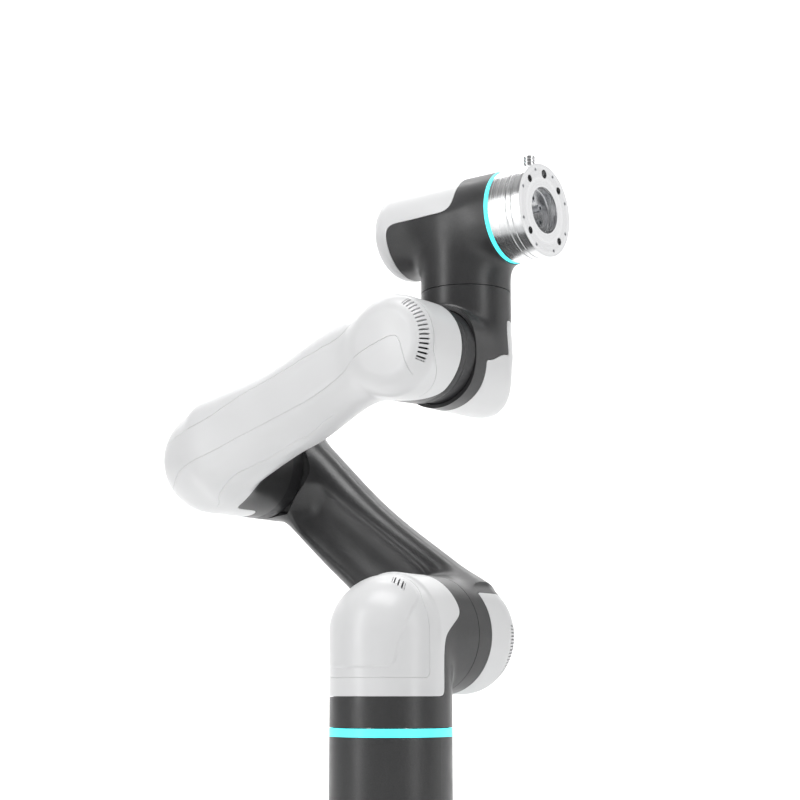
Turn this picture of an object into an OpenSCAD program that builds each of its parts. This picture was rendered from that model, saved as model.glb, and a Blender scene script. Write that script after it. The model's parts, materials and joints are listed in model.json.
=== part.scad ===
// Six-axis collaborative robot arm, posed as it stands in use.
// Origin: centre of the base's mounting face. +Z up, +X the way the tool points, +Y along the
// shoulder, elbow and first wrist axes.

/* [Base] */
// Diameter of the base's mounting flange
base_flange_d = 128; // [120:1:140]
// Thickness of the mounting flange
base_flange_t = 9; // [7:1:12]
// Diameter of the base's bolt circle
base_bolt_pcd = 110; // [106:1:112]
// Diameter of the base's four bolt holes
base_bolt_d = 6.6; // [5.5:0.1:7]
// Diameter of the column
column_d = 78; // [76:0.5:80]
// Height of the seam where the arm turns on its base
base_seam_z = 110.5; // [108:0.5:112]

/* [Arm] */
// Height of the shoulder axis
shoulder_z = 169.5; // [168:0.5:172]
// Shoulder axis to elbow axis
upper_arm_len = 210; // [205:1:215]
// Elbow axis to first wrist axis
forearm_len = 193; // [190:1:196]
// Lean of the upper arm from the vertical, away from the tool side
upper_arm_lean = 52.9; // [50:0.1:56]
// Rise of the forearm above the horizontal
forearm_rise = 16.7; // [14:0.1:19]

/* [Wrist and tool] */
// Sideways offset of the second wrist axis
wrist_offset = 61.2; // [60:0.1:62]
// First wrist axis to tool axis, measured up
wrist_rise = 97.2; // [96:0.1:98]
// Second wrist axis to the tool flange's face
tool_reach = 64.5; // [64:0.1:66]
// Diameter of the tool flange
flange_d = 63; // [62:0.5:63]
// Diameter of the tool flange's bolt circle
flange_pcd = 50; // [49:0.5:50]
// Diameter of the tool flange's centring recess
flange_recess_d = 31.5; // [30:0.5:32]

/* [Hidden] */

$fn = 96;
eps = 0.01;

// Colours, as the finished surfaces show them
shell_white = [0.86, 0.87, 0.88];
casting_grey = [0.27, 0.27, 0.28];
light_cyan = [0.35, 1, 1];
aluminium = [0.78, 0.79, 0.8];
steel = [0.6, 0.61, 0.63];
rubber_black = [0.08, 0.08, 0.09];
board_green = [0.1, 0.35, 0.2];
copper = [0.72, 0.45, 0.25];

// Fits and walls
seam_gap = 0.5;        // open gap between two bodies at a joint's seam
wall = 4;              // castings
cover_t = 2.4;         // plastic covers
cover_gap = 0.2;       // cover to casting
run_clear = 0.05;      // bearing's inner ring, radial

// Joint centres
elbow_x = -upper_arm_len * sin(upper_arm_lean);
elbow_z = shoulder_z + upper_arm_len * cos(upper_arm_lean);
wrist_x = elbow_x + forearm_len * cos(forearm_rise);
wrist_z = elbow_z + forearm_len * sin(forearm_rise);
tool_z = wrist_z + wrist_rise;

// Radii of the housings
column_r = column_d / 2;
shoulder_r = column_r - 0.2;
elbow_r = 38;
forearm_end_r = 33;
neck_r = 31.4;
wrist_r = 34.5;
stub_r = 30.8;
tool_tube_r = 31.6;
flange_r = flange_d / 2;

// Seams, along each joint's own axis
shoulder_seam_y = 43;
elbow_seam_y = 63;
wrist_seam_y = 27;
wrist_2_seam_z = wrist_z + 48.8;
tool_seam_x = 39.8;    // from the second wrist axis

// Ends of the housings
shoulder_end_y = 100;
elbow_end_y = 101;
wrist_end_y = 91;
forearm_front_y = -31;
elbow_front_y = -26;
tool_back_x = -63;
cap_start_y = 57.7;    // shoulder end cap
wrist_cap_start_y = 39.5;
elbow_cap_start_y = 87;
elbow_cover_end_y = 42;

// Base
base_light_h = 5.2;
base_light_z = base_seam_z - seam_gap / 2 - base_light_h;
rear_block_x = -60;
rear_block_w = 56;
rear_block_z = [12, 58];
rear_block_r = 6;

// ---- Placing -------------------------------------------------------------------------------

module facing_y() rotate([-90, 0, 0]) children();
module facing_minus_y() rotate([90, 0, 0]) children();
module facing_x() rotate([0, 90, 0]) children();
module at_shoulder() translate([0, 0, shoulder_z]) children();
module at_elbow() translate([elbow_x, 0, elbow_z]) children();
module at_wrist() translate([wrist_x, 0, wrist_z]) children();
module at_tool() translate([wrist_x, wrist_offset, tool_z]) children();
// Local Z runs from the shoulder axis to the elbow axis
module along_upper_arm() at_shoulder() rotate([0, -upper_arm_lean, 0]) children();
// Local X runs from the elbow axis to the wrist axis
module along_forearm() at_elbow() rotate([0, -forearm_rise, 0]) children();

// A drum about the local Y axis, from y0 to y1
module drum_y(r, y0, y1) translate([0, y0, 0]) facing_y() cylinder(r = r, h = y1 - y0);
// A drum about the local X axis, from x0 to x1
module drum_x(r, x0, x1) translate([x0, 0, 0]) facing_x() cylinder(r = r, h = x1 - x0);
// A ring about Z
module ring(r_out, r_in, h) difference() {
    cylinder(r = r_out, h = h);
    translate([0, 0, -eps]) cylinder(r = r_in, h = h + 2 * eps);
}
// A drum about Z whose far end is rounded with the radius round_r
module round_drum(r, h, round_r) rotate_extrude() {
    square([r, h - round_r]);
    square([r - round_r, h]);
    intersection() {
        translate([r - round_r, h - round_r]) circle(r = round_r);
        translate([r - round_r, h - round_r]) square(round_r);
    }
}
// The hollow inside a drum from z0 on, closed by an end wall
module round_cup(r, h, round_r, t) difference() {
    round_drum(r, h, round_r);
    translate([0, 0, -eps]) round_drum(r - t, h - t + eps, max(round_r - t, 1));
}
// A stadium outline, wide along local X
module stadium(w, r) {
    translate([-w / 2 + r, 0]) circle(r = r);
    translate([w / 2 - r, 0]) circle(r = r);
    square([w - 2 * r, 2 * r], center = true);
}
// Two circles and everything between them: at the origin and at [len, 0]
module tapered_outline(r0, r1, len) hull() {
    circle(r = r0, $fn = 48);
    translate([len, 0]) circle(r = r1, $fn = 48);
}
// Screws with hexagon sockets, heads up, standing on the XY plane at the radius pcd_r
module screw_ring(count, pcd_r, first, thread_r, head_r, head_h, len)
    for (i = [0 : count - 1])
        rotate(first + i * 360 / count) translate([pcd_r, 0, 0]) {
            translate([0, 0, -len]) cylinder(r = thread_r, h = len, $fn = 24);
            difference() {
                cylinder(r = head_r, h = head_h, $fn = 32);
                translate([0, 0, head_h / 3]) cylinder(r = head_r * 0.55, h = head_h, $fn = 6);
            }
        }

// ---- Drive units ---------------------------------------------------------------------------
// Each drive stands along local Z: the housing side below the seam at z = 0 and the output above.

bearing_len = 10;
output_screw_r = 13;    // radius of the output screws' circle
hub_screw_r = 10;       // the same on the tool flange's hub
bearing_wall = 7;
gear_len = 11;
drive_bore_r = 7;
output_t = 5;

module drive_bearing(r) translate([0, 0, -1 - bearing_len])
    color(steel) ring(r, r - bearing_wall, bearing_len);
module drive_gear(r) translate([0, 0, -1 - bearing_len - gear_len])
    color(steel) ring(r - 2, drive_bore_r + 1, gear_len);
module drive_motor(r, len) translate([0, 0, -1 - bearing_len - gear_len - len])
    color(copper) ring(r - 2, drive_bore_r + 1, len);
module drive_brake(r, motor_len, len) translate([0, 0, -1 - bearing_len - gear_len - motor_len - len])
    color(board_green) ring(r - 6, drive_bore_r + 1, len);
module drive_output(r, plate_r, screw_pcd_r = output_screw_r) color(aluminium) difference() {
    union() {
        translate([0, 0, -bearing_len]) cylinder(r = r - bearing_wall - run_clear, h = bearing_len + 1);
        translate([0, 0, seam_gap / 2]) cylinder(r = plate_r, h = output_t);
    }
    translate([0, 0, -bearing_len - eps]) cylinder(r = drive_bore_r, h = bearing_len + 1 + output_t);
    for (i = [0 : 5]) rotate(i * 60) translate([screw_pcd_r, 0, -bearing_len - eps])
        cylinder(r = 1.7, h = bearing_len + output_t + 1, $fn = 24);
}

module place_base_drive() translate([0, 0, base_seam_z]) children();
module place_shoulder_drive() at_shoulder() translate([0, shoulder_seam_y, 0]) facing_minus_y() children();
module place_elbow_drive() at_elbow() translate([0, elbow_seam_y, 0]) facing_y() children();
module place_wrist_1_drive() at_wrist() translate([0, wrist_seam_y, 0]) facing_minus_y() children();
module place_wrist_2_drive()
    translate([wrist_x, wrist_offset, wrist_2_seam_z]) rotate([180, 0, 0]) children();
module place_tool_drive() at_tool() translate([tool_seam_x, 0, 0]) facing_x() children();

base_drive_r = column_r - wall - 1.5;
shoulder_drive_r = shoulder_r - wall - 2.6;
elbow_drive_r = elbow_r - wall - 2.6;
wrist_1_drive_r = wrist_r - wall - 2.6;
wrist_2_drive_r = stub_r - 3.5;
tool_drive_r = tool_tube_r - 3.8;
wrist_2_motor_r = 19;   // stands between the tool's gear and its motor
// Inner radii of the castings that the outputs bolt into
shoulder_plate_r = shoulder_r - wall - 2.6;
elbow_plate_r = elbow_r - wall;
neck_plate_r = neck_r - 3.5;
stub_plate_r = stub_r - 3.5;
hub_plate_r = flange_r - 5.5;

// ---- Base ----------------------------------------------------------------------------------

module base_outline() {
    flare_r = (base_flange_d - column_d) / 2;
    square([column_r, base_light_z]);
    square([base_flange_d / 2, base_flange_t]);
    difference() {
        square([base_flange_d / 2, base_flange_t + flare_r]);
        translate([base_flange_d / 2, base_flange_t + flare_r]) circle(r = flare_r);
    }
    // spigot that the light ring sits on
    square([column_r - 2, base_seam_z - seam_gap / 2]);
}
module rear_block(grow) {
    depth = -rear_block_x - 30;
    translate([rear_block_x, 0, 0])
        facing_x() linear_extrude(depth) rounded_rect(
            [rear_block_z[1] - rear_block_z[0] + 2 * grow, rear_block_w + 2 * grow],
            rear_block_r + grow, -(rear_block_z[0] + rear_block_z[1]) / 2);
}
// A rectangle with round corners, its centre at [x, 0]
module rounded_rect(size, r, x) translate([x, 0]) {
    square([size[0] - 2 * r, size[1]], center = true);
    square([size[0], size[1] - 2 * r], center = true);
    for (sx = [-1, 1], sy = [-1, 1])
        translate([sx * (size[0] / 2 - r), sy * (size[1] / 2 - r)]) circle(r = r);
}
module base_casting() color(casting_grey) difference() {
    union() {
        rotate_extrude() base_outline();
        rear_block(0);
    }
    // main cavity, the seat of the drive and the floor plate's rebate
    translate([0, 0, 3]) cylinder(r = column_r - wall - 3, h = base_seam_z);
    translate([0, 0, 58]) cylinder(r = base_drive_r, h = base_seam_z);
    translate([0, 0, -eps]) cylinder(r = column_r - 2, h = 3.01);
    // way into the rear block, and the panel's rebate
    translate([rear_block_x - eps, 0, 0])
        facing_x() linear_extrude(30) rounded_rect(
            [rear_block_z[1] - rear_block_z[0] - 12, rear_block_w - 12], 3,
            -(rear_block_z[0] + rear_block_z[1]) / 2);
    translate([rear_block_x - eps, 0, 0])
        facing_x() linear_extrude(2 + eps) rounded_rect(
            [rear_block_z[1] - rear_block_z[0] - 6, rear_block_w - 6], 4,
            -(rear_block_z[0] + rear_block_z[1]) / 2);
    // mounting bolts and the flat seats of their heads
    for (i = [0 : 3]) rotate(45 + i * 90) translate([base_bolt_pcd / 2, 0, 0]) {
        translate([0, 0, -1]) cylinder(d = base_bolt_d, h = base_flange_t + 2);
        translate([0, 0, base_flange_t]) cylinder(r = 7, h = 40);
    }
    // seats of the panel's screws
    at_panel_corners() translate([0, 0, -1]) cylinder(r = 1.25, h = 12, $fn = 24);
}
module at_panel_corners()
    for (sy = [-1, 1], z = [rear_block_z[0] + 5.8, rear_block_z[1] - 5.8])
        translate([rear_block_x + 2, sy * (rear_block_w / 2 - 5.8), z]) facing_x() children();
module base_bottom_plate() color(casting_grey) difference() {
    cylinder(r = column_r - 2, h = 3);
    translate([0, 0, -eps]) cylinder(r = 8, h = 3.1);
}
module base_light_ring() color(light_cyan) translate([0, 0, base_light_z])
    ring(column_r, column_r - 2, base_light_h);

panel_z = (rear_block_z[0] + rear_block_z[1]) / 2;
socket_y = 14.5;
socket_z = panel_z - 8;
socket_r = 8;
socket_bore_r = 5.5;
port_y = [-15, -1];
port_w = 12;
port_h = 12;
button_y = 14.5;
button_z = panel_z + 9.5;
button_r = 6;

module base_rear_panel() color(rubber_black) difference() {
    translate([rear_block_x, 0, 0]) facing_x() linear_extrude(2) rounded_rect(
        [rear_block_z[1] - rear_block_z[0] - 6, rear_block_w - 6], 4, -panel_z);
    at_panel_corners() translate([0, 0, -3]) cylinder(r = 1.6, h = 4, $fn = 24);
    translate([rear_block_x - 1, socket_y, socket_z]) facing_x() cylinder(r = socket_r - 1, h = 4);
    translate([rear_block_x - 1, button_y, button_z]) facing_x() cylinder(r = button_r + 0.3, h = 4);
    for (y = port_y) translate([rear_block_x - 1, y - port_w / 2, panel_z - port_h])
        cube([4, port_w, port_h]);
}
module base_power_socket() color(steel) translate([0, socket_y, socket_z]) difference() {
    union() {
        translate([rear_block_x - 3, 0, 0]) facing_x() cylinder(r = socket_r, h = 3);
        translate([rear_block_x - 0.5, 0, 0]) facing_x() cylinder(r = socket_r - 1, h = 12);
    }
    translate([rear_block_x - 3 - eps, 0, 0]) facing_x() cylinder(r = socket_bore_r, h = 11);
}
module base_data_ports() color(steel) for (y = port_y)
    translate([rear_block_x - 0.5, y - port_w / 2, panel_z - port_h]) difference() {
        cube([14, port_w, port_h]);
        translate([-eps, 1.2, 1.2]) cube([11, port_w - 2.4, port_h - 2.4]);
    }
module base_panel_screws() color(steel) at_panel_corners()
    translate([0, 0, -2]) rotate([180, 0, 0]) screw_ring(1, 0, 0, 1.25, 2.2, 1.4, 8);
module base_control_board() color(board_green) translate([0, 0, 40]) ring(column_r - wall - 3, 12, 1.6);
module power_button() color(steel) translate([rear_block_x - 2.5, button_y, button_z])
    facing_x() cylinder(r = button_r, h = 6);

// ---- Shoulder ------------------------------------------------------------------------------

module shoulder_form(grow) {
    rotate_extrude() intersection() {
        union() {
            square([column_r + grow, shoulder_z]);
            translate([0, shoulder_z]) circle(r = column_r + grow);
        }
        translate([0, base_seam_z + seam_gap / 2]) square([column_r + 10, shoulder_z]);
    }
    at_shoulder() drum_y(shoulder_r + grow, 0, shoulder_seam_y - seam_gap / 2);
}
cover_bottom_z = 129.7;
cover_edge_y = 4.4;
lobe_edge_y = 26;
lobe_z = shoulder_z + 6;
module cover_region() {
    translate([-60, -60, cover_bottom_z]) cube([120, 60 + cover_edge_y, 100]);
    translate([-60, 0, lobe_z]) cube([120, lobe_edge_y, 60]);
}
module shoulder_casting() color(casting_grey) difference() {
    shoulder_form(0);
    difference() {
        translate([0, 0, -cover_gap]) cover_region();
        shoulder_form(-cover_t - cover_gap);
    }
    // hollow, open at both seams for the drives
    translate([0, 0, base_seam_z]) cylinder(r = column_r - cover_t - wall, h = shoulder_z - base_seam_z);
    at_shoulder() sphere(r = column_r - cover_t - wall);
    at_shoulder() drum_y(shoulder_r - cover_t - wall, 0, shoulder_seam_y);
}
module shoulder_front_cover() color(shell_white) intersection() {
    difference() {
        shoulder_form(0);
        shoulder_form(-cover_t);
    }
    cover_region();
}

// ---- Upper arm -----------------------------------------------------------------------------

beam_w = 60;
beam_shift = 6;        // towards the upper side
beam_r = 17;
beam_y = [74, 82];     // at the shoulder axis and at the elbow axis
module upper_beam(grow) along_upper_arm() translate([0, beam_y[0], 0])
    rotate([-atan((beam_y[1] - beam_y[0]) / upper_arm_len), 0, 0]) translate([0, 0, 28])
        linear_extrude(upper_arm_len - 28 - 26) translate([beam_shift, 0])
            stadium(beam_w + 2 * grow, beam_r + grow);
module upper_arm_casting() color(casting_grey) difference() {
    union() {
        at_shoulder() {
            drum_y(shoulder_r, shoulder_seam_y + seam_gap / 2, cap_start_y - cover_gap);
            drum_y(shoulder_r - cover_t - cover_gap, shoulder_seam_y + 1, shoulder_end_y - 22);
        }
        at_elbow() {
            drum_y(elbow_r, elbow_seam_y + seam_gap / 2, elbow_cap_start_y - cover_gap);
            drum_y(elbow_r - cover_t - cover_gap, elbow_seam_y + 1, elbow_end_y - 10);
        }
        upper_beam(0);
    }
    at_shoulder() drum_y(shoulder_drive_r, shoulder_seam_y, shoulder_end_y);
    at_elbow() drum_y(elbow_plate_r, elbow_seam_y, elbow_end_y);
    upper_beam(-wall);
}
module upper_arm_shoulder_cap() color(shell_white) difference() {
    at_shoulder() translate([0, cap_start_y, 0]) facing_y()
        round_cup(shoulder_r, shoulder_end_y - cap_start_y, 20, cover_t);
    upper_beam(cover_gap);
}
module upper_arm_elbow_cap() color(shell_white) difference() {
    at_elbow() translate([0, elbow_cap_start_y, 0]) facing_y()
        round_cup(elbow_r, elbow_end_y - elbow_cap_start_y, 9, cover_t);
    upper_beam(cover_gap);
}

// ---- Forearm -------------------------------------------------------------------------------

forearm_back_y = 18;
forearm_head_y = 8.7;   // end of the cover at the first wrist
// Two rounded pucks and everything between them, front faces toward -Y
module forearm_form(grow) along_forearm() hull() {
    translate([0, forearm_head_y, 0]) facing_minus_y()
        round_drum(elbow_r + grow, forearm_head_y - elbow_front_y + grow, 22, $fn = 32);
    translate([forearm_len, forearm_head_y, 0]) facing_minus_y()
        round_drum(forearm_end_r + grow, forearm_head_y - forearm_front_y + grow, 20, $fn = 32);
}
panel_len = 120;
module panel_region() along_forearm() translate([35, forearm_head_y, -9]) facing_minus_y()
    translate([0, 0, 30]) linear_extrude(30) translate([panel_len / 2, 0]) stadium(panel_len, 12);
module forearm_casting() color(casting_grey) difference() {
    along_forearm() {
        drum_y(elbow_r - cover_t - 0.6, forearm_head_y - 11, elbow_seam_y - 1);
        drum_y(elbow_r, elbow_cover_end_y + cover_gap, elbow_seam_y - seam_gap / 2);
        translate([0, forearm_head_y + 0.3, 0]) facing_y()
            linear_extrude(forearm_back_y - forearm_head_y - 0.3)
                tapered_outline(elbow_r - 3.5, neck_r - 1, forearm_len);
        translate([0, forearm_head_y - 26, -20]) cube([forearm_len - 20, 27, 40]);
        translate([forearm_len, 0, 0]) {
            drum_y(forearm_end_r - 6, forearm_head_y - 28, forearm_head_y + 1);
            drum_y(neck_r, forearm_head_y + 0.2, wrist_seam_y - seam_gap / 2);
        }
    }
    along_forearm() {
        drum_y(elbow_drive_r, forearm_head_y - 8, elbow_seam_y);
        translate([30, forearm_head_y - 22, -16]) cube([forearm_len - 55, 27, 32]);
        translate([forearm_len, 0, 0]) drum_y(neck_plate_r, forearm_head_y - 24, wrist_seam_y);
    }
}
module forearm_cover() color(shell_white) difference() {
    union() {
        difference() {
            forearm_form(0);
            forearm_form(-cover_t);
        }
        along_forearm() difference() {
            drum_y(elbow_r, forearm_head_y, elbow_cover_end_y);
            drum_y(elbow_r - cover_t, 0, elbow_cover_end_y + 1);
            translate([0, forearm_head_y, -60]) cube([60, 60, 120]);
        }
    }
    panel_region();
}
module forearm_front_panel() color(shell_white) intersection() {
    difference() {
        forearm_form(-0.3);
        forearm_form(-cover_t);
    }
    panel_region();
}

// ---- Wrist 1 -------------------------------------------------------------------------------

module wrist_stub(grow, z0, z1) translate([wrist_x, wrist_offset, z0])
    cylinder(r = stub_r + grow, h = z1 - z0);
module wrist_1_casting() color(casting_grey) difference() {
    union() {
        at_wrist() drum_y(wrist_r, wrist_seam_y + seam_gap / 2, wrist_cap_start_y - cover_gap);
        at_wrist() drum_y(wrist_r - cover_t - cover_gap, wrist_seam_y + 1, wrist_end_y - 29);
        wrist_stub(0, wrist_z, wrist_2_seam_z - seam_gap / 2);
    }
    at_wrist() drum_y(wrist_1_drive_r, wrist_seam_y, wrist_end_y);
    wrist_stub(-3.5, wrist_z, wrist_2_seam_z);
}
module wrist_1_cap() color(shell_white) difference() {
    at_wrist() translate([0, wrist_cap_start_y, 0]) facing_y()
        round_cup(wrist_r, wrist_end_y - wrist_cap_start_y, 30, cover_t);
    wrist_stub(cover_gap, wrist_z, tool_z);
}
module wrist_1_neck_ring() color(rubber_black) at_wrist()
    translate([0, forearm_head_y + 10, 0]) facing_y() ring(neck_r + 0.6, neck_r, 5);

// ---- Wrist 2 -------------------------------------------------------------------------------

wrist_light_len = 3;
module wrist_2_form(grow) {
    at_tool() translate([tool_seam_x - wrist_light_len, 0, 0]) rotate([0, -90, 0])
        round_drum(tool_tube_r + grow, tool_seam_x - wrist_light_len - tool_back_x + grow, 16);
}
// The cover wraps the tube's back end and its top
module wrist_2_cover_region(grow) at_tool() {
    translate([tool_back_x - 1, -40, -40]) cube([18 + grow, 80, 80]);
    translate([tool_back_x + 1, -40, 2 - grow]) cube([-tool_back_x + 9 + grow, 80, 40]);
}
module wrist_2_casting() color(casting_grey) difference() {
    union() {
        difference() {
            wrist_2_form(0);
            wrist_2_cover_region(cover_gap);
        }
        wrist_2_form(-cover_t - cover_gap);
        wrist_stub(0, wrist_2_seam_z + seam_gap / 2, tool_z - 10);
    }
    wrist_2_form(-3.8);
    at_tool() drum_x(tool_drive_r, 0, tool_seam_x);
    wrist_stub(-3.5, wrist_2_seam_z, tool_z);
}
module wrist_2_cover() color(shell_white) difference() {
    intersection() {
        wrist_2_form(0);
        wrist_2_cover_region(0);
    }
    wrist_2_form(-cover_t);
}
module wrist_2_light_ring() color(light_cyan) at_tool()
    translate([tool_seam_x - wrist_light_len, 0, 0]) facing_x()
        ring(tool_tube_r, tool_drive_r, wrist_light_len - seam_gap / 2);
module wrist_2_drive_shaft() color(steel) at_tool() translate([-24, 0, 0]) facing_x()
    ring(5, 3.5, 48);

// ---- Tool flange ---------------------------------------------------------------------------

recess_len = 6.5;
recess_depth = 12;
tool_bolt_depth = 9;
module tool_flange() color(aluminium) at_tool() facing_x() difference() {
    translate([0, 0, tool_seam_x + seam_gap / 2])
        cylinder(r = flange_r, h = tool_reach - tool_seam_x - seam_gap / 2);
    // seat of the drive's output plate
    translate([0, 0, tool_seam_x]) cylinder(r = hub_plate_r, h = seam_gap / 2 + output_t);
    // centring recess, the deeper hollow of the hub screws and their clearance holes
    translate([0, 0, tool_reach - recess_len]) cylinder(d = flange_recess_d, h = recess_len + 1);
    translate([0, 0, tool_reach - recess_depth]) cylinder(d = flange_recess_d - 1, h = recess_depth);
    for (i = [0 : 5]) rotate(i * 60) translate([hub_screw_r, 0, tool_seam_x])
        cylinder(r = 1.7, h = 20, $fn = 24);
    // tool bolts, and the dowel hole at the top
    for (i = [0 : 3]) rotate(45 + i * 90) translate([flange_pcd / 2, 0, tool_reach - tool_bolt_depth])
        cylinder(r = 2.5, h = tool_bolt_depth + 1);
    rotate(180) translate([flange_pcd / 2, 0, tool_reach - 7]) cylinder(r = 3, h = 8);
    for (i = [0 : 7]) rotate(22.5 + i * 45) translate([27.8, 0, tool_reach - 6])
        cylinder(r = 1.2, h = 7, $fn = 24);
    // two grooves round the body
    for (x = [tool_reach - 11, tool_reach - 7]) translate([0, 0, x]) ring(flange_r + 1, flange_r - 0.6, 0.8);
    // seat of the tool connector
    translate([0, 0, 53]) rotate([0, -90, 0]) cylinder(r = 3.4, h = flange_r + 1);
}
module tool_connector() color(aluminium) at_tool() translate([53, 0, flange_r - 6]) difference() {
    union() {
        cylinder(r = 3.4, h = 14);
        for (i = [0 : 2]) translate([0, 0, 7.5 + i * 2.2]) cylinder(r = 4.2, h = 1.4);
    }
    translate([0, 0, 8]) cylinder(r = 2.6, h = 7);
}
module flange_face_screws() color(steel) at_tool() facing_x()
    translate([0, 0, tool_reach - 1.6]) screw_ring(8, 27.8, 22.5, 0.8, 1.2, 1.3, 4);
module flange_hub_screws() color(steel) at_tool() facing_x()
    translate([0, 0, tool_reach - recess_depth]) screw_ring(6, hub_screw_r, 0, 1.7, 2.75, 3, 10);

// ---- Drive parts, one module each ----------------------------------------------------------

module base_drive_bearing() place_base_drive() drive_bearing(base_drive_r);
module base_drive_gear() place_base_drive() drive_gear(base_drive_r);
module base_drive_motor() place_base_drive() drive_motor(base_drive_r, 20);
module base_drive_brake() place_base_drive() drive_brake(base_drive_r, 20, 7);
module base_drive_output() place_base_drive() drive_output(base_drive_r, column_r - wall - cover_t);
module shoulder_drive_bearing() place_shoulder_drive() drive_bearing(shoulder_drive_r);
module shoulder_drive_gear() place_shoulder_drive() drive_gear(shoulder_drive_r);
module shoulder_drive_motor() place_shoulder_drive() drive_motor(shoulder_drive_r, 20);
module shoulder_drive_brake() place_shoulder_drive() drive_brake(shoulder_drive_r, 20, 7);
module shoulder_drive_output() place_shoulder_drive() drive_output(shoulder_drive_r, shoulder_plate_r + 0.2);
module elbow_drive_bearing() place_elbow_drive() drive_bearing(elbow_drive_r);
module elbow_drive_gear() place_elbow_drive() drive_gear(elbow_drive_r);
module elbow_drive_motor() place_elbow_drive() drive_motor(elbow_drive_r, 20);
module elbow_drive_brake() place_elbow_drive() drive_brake(elbow_drive_r, 20, 7);
module elbow_drive_output() place_elbow_drive() drive_output(elbow_drive_r, elbow_plate_r);
module wrist_1_drive_bearing() place_wrist_1_drive() drive_bearing(wrist_1_drive_r);
module wrist_1_drive_gear() place_wrist_1_drive() drive_gear(wrist_1_drive_r);
module wrist_1_drive_motor() place_wrist_1_drive() drive_motor(wrist_1_drive_r, 18);
module wrist_1_drive_brake() place_wrist_1_drive() drive_brake(wrist_1_drive_r, 18, 6);
module wrist_1_drive_output() place_wrist_1_drive() drive_output(wrist_1_drive_r, neck_plate_r);
module wrist_2_drive_bearing() place_wrist_2_drive() drive_bearing(wrist_2_drive_r);
module wrist_2_drive_gear() place_wrist_2_drive() drive_gear(wrist_2_drive_r);
module wrist_2_drive_motor() place_wrist_2_drive() drive_motor(wrist_2_motor_r, 18);
module wrist_2_drive_output() place_wrist_2_drive() drive_output(wrist_2_drive_r, stub_plate_r);
module tool_drive_bearing() place_tool_drive() drive_bearing(tool_drive_r);
module tool_drive_gear() place_tool_drive() drive_gear(tool_drive_r - 1);
module tool_drive_motor() at_tool() translate([-52, 0, 0]) facing_x() color(copper)
    ring(20, 6, 24);
module tool_drive_output() place_tool_drive() drive_output(tool_drive_r, hub_plate_r, hub_screw_r);

base_casting();
base_bottom_plate();
base_light_ring();
base_rear_panel();
base_power_socket();
base_data_ports();
base_panel_screws();
base_control_board();
power_button();
shoulder_casting();
shoulder_front_cover();
upper_arm_casting();
upper_arm_shoulder_cap();
upper_arm_elbow_cap();
forearm_casting();
forearm_cover();
forearm_front_panel();
wrist_1_casting();
wrist_1_cap();
wrist_1_neck_ring();
wrist_2_casting();
wrist_2_cover();
wrist_2_light_ring();
wrist_2_drive_shaft();
tool_flange();
tool_connector();
flange_face_screws();
flange_hub_screws();
base_drive_bearing();
base_drive_gear();
base_drive_motor();
base_drive_brake();
base_drive_output();
shoulder_drive_bearing();
shoulder_drive_gear();
shoulder_drive_motor();
shoulder_drive_brake();
shoulder_drive_output();
elbow_drive_bearing();
elbow_drive_gear();
elbow_drive_motor();
elbow_drive_brake();
elbow_drive_output();
wrist_1_drive_bearing();
wrist_1_drive_gear();
wrist_1_drive_motor();
wrist_1_drive_brake();
wrist_1_drive_output();
wrist_2_drive_bearing();
wrist_2_drive_gear();
wrist_2_drive_motor();
wrist_2_drive_output();
tool_drive_bearing();
tool_drive_gear();
tool_drive_motor();
tool_drive_output();
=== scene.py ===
"""Looks of a six-axis collaborative robot arm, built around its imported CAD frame.

Each link is one distance field in millimetres, negative inside. The field's surface is meshed once
and then cut along guide fields, so the white shells, the dark castings and the gaps between them
share one exact surface.
"""

import json
import math

import bpy
import numpy as np
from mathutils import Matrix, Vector


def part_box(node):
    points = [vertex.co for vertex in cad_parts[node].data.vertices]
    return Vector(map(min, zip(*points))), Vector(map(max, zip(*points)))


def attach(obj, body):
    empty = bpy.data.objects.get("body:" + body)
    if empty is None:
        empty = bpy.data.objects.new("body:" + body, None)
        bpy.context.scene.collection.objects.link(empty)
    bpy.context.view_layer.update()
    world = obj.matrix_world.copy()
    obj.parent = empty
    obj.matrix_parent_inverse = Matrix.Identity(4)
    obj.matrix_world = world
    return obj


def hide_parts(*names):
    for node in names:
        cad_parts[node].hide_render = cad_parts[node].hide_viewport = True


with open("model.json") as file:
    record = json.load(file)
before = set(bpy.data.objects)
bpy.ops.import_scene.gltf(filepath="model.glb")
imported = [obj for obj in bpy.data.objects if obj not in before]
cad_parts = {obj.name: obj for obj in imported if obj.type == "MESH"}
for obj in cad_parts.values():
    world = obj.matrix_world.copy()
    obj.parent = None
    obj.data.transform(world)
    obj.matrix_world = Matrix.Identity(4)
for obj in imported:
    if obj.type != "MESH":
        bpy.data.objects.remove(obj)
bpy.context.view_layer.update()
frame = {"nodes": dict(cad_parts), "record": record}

MM = 0.001
X, Y, Z = 0, 1, 2

# ---- Places, taken from the frame ----------------------------------------------------------------


def box_mm(node):
    """Lowest and highest corner of a CAD node, in millimetres."""
    low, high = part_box(node)
    return np.array(low) / MM, np.array(high) / MM


def centre(node):
    low, high = box_mm(node)
    return (low + high) / 2


ON_Y_AXIS = np.array([1, 0, 1])
SHOULDER = centre("shoulder_drive_bearing") * ON_Y_AXIS
ELBOW = centre("elbow_drive_bearing") * ON_Y_AXIS
WRIST = centre("wrist_1_drive_bearing") * ON_Y_AXIS
STUB = centre("wrist_2_drive_bearing")
TOOL = np.array([STUB[X], STUB[Y], centre("tool_drive_bearing")[Z]])

UPPER_LEN = np.linalg.norm(ELBOW - SHOULDER)
UPPER_DIR = (ELBOW - SHOULDER) / UPPER_LEN
FORE_LEN = np.linalg.norm(WRIST - ELBOW)
FORE_DIR = (WRIST - ELBOW) / FORE_LEN

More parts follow.
